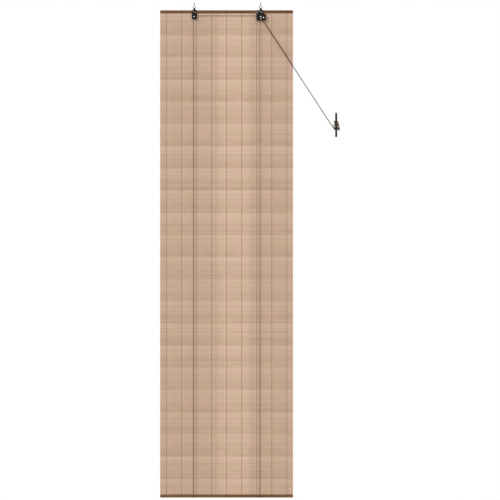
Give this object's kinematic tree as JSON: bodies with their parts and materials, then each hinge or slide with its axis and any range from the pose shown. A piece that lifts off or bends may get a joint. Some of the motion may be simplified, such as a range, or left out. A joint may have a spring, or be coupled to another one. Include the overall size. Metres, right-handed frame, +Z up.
{
  "type": "bamboo roll up blind",
  "caption": "Roll up blind of woven bamboo slats on two screw hooks, with pulley brackets, a cord lock, lift cords and a wall cleat.",
  "frame": {"origin": "midway between the two hook screws, in the plane that their collars meet", "axes": "+Z up along the hook screws, +X to the right of someone facing the blind, +Y towards the wall"},
  "size_m": [0.8117, 0.0289, 2.2399],
  "materials": {
    "bamboo": "split bamboo, satin",
    "stained_wood": "dark stain, satin",
    "warp_thread": "twisted thread",
    "lift_cord": "braided cord",
    "black_plate": "black enamel",
    "cleat_black": "black enamel",
    "bright_steel": "bright zinc",
    "hook_steel": "bright zinc",
    "wheel_nylon": "natural nylon"
  },
  "bodies": {
    "fixings": {"left_screw_hook": "hook_steel", "right_screw_hook": "hook_steel", "cord_cleat": "cleat_black", "cleat_hank": "lift_cord", "left_pull_cord": "lift_cord", "right_pull_cord": "lift_cord"},
    "blind": {"head_batten": "stained_wood", "head_bindings": "warp_thread", "bamboo_mat": "bamboo", "warp_threads": "warp_thread", "left_back_plate": "black_plate", "left_front_plate": "black_plate", "left_wheel_axle": "bright_steel", "left_bracket_screws": "bright_steel", "right_back_plate": "black_plate", "right_front_plate": "black_plate", "right_wheel_axle": "bright_steel", "guide_roller_pin": "bright_steel", "pawl_pin": "bright_steel", "right_bracket_screws": "bright_steel", "left_tie_eye": "bright_steel", "right_tie_eye": "bright_steel", "left_cord_back": "lift_cord", "left_cord_front": "lift_cord", "left_cord_head": "lift_cord", "right_cord_back": "lift_cord", "right_cord_front": "lift_cord", "right_cord_head": "lift_cord"},
    "bottom_end": {"bottom_batten": "stained_wood", "bottom_bindings": "warp_thread", "left_cord_loop": "lift_cord", "right_cord_loop": "lift_cord"},
    "left_wheel": {"left_pulley_wheel": "wheel_nylon"},
    "right_wheel": {"right_pulley_wheel": "wheel_nylon"},
    "roller": {"guide_roller": "wheel_nylon"},
    "pawl": {"lock_pawl": "bright_steel"}
  },
  "joints": [
    {"name": "blind_swing", "type": "hinge", "parent": "fixings", "child": "blind", "pos_m": [0, 0, -0.0157], "axis": [-1, 0, 0], "range_deg": [-5, 20], "deforming": ["left_pull_cord", "right_pull_cord"]},
    {"name": "lift", "type": "slide", "parent": "blind", "child": "bottom_end", "axis": [0, 0, 1], "range_m": [0, 2.05], "deforming": ["bamboo_mat", "warp_threads", "left_cord_back", "right_cord_back", "left_cord_front", "right_cord_front"]},
    {"name": "left_wheel_spin", "type": "hinge", "parent": "blind", "child": "left_wheel", "pos_m": [-0.15, 0, -0.0535], "axis": [0, 1, 0], "continuous": true},
    {"name": "right_wheel_spin", "type": "hinge", "parent": "blind", "child": "right_wheel", "pos_m": [0.15, 0, -0.0535], "axis": [0, 1, 0], "continuous": true},
    {"name": "guide_roller_spin", "type": "hinge", "parent": "blind", "child": "roller", "pos_m": [0.1507, 0, -0.0632], "axis": [0, 1, 0], "continuous": true},
    {"name": "pawl_tilt", "type": "hinge", "parent": "blind", "child": "pawl", "pos_m": [0.1625, 0, -0.0575], "axis": [0, -1, 0], "range_deg": [0, 30]}
  ],
  "couplings": [
    {"joint": "left_wheel_spin", "follows": "lift", "rad_per_m": 444.44},
    {"joint": "right_wheel_spin", "follows": "lift", "rad_per_m": 444.44},
    {"joint": "guide_roller_spin", "follows": "lift", "rad_per_m": 769.23}
  ]
}
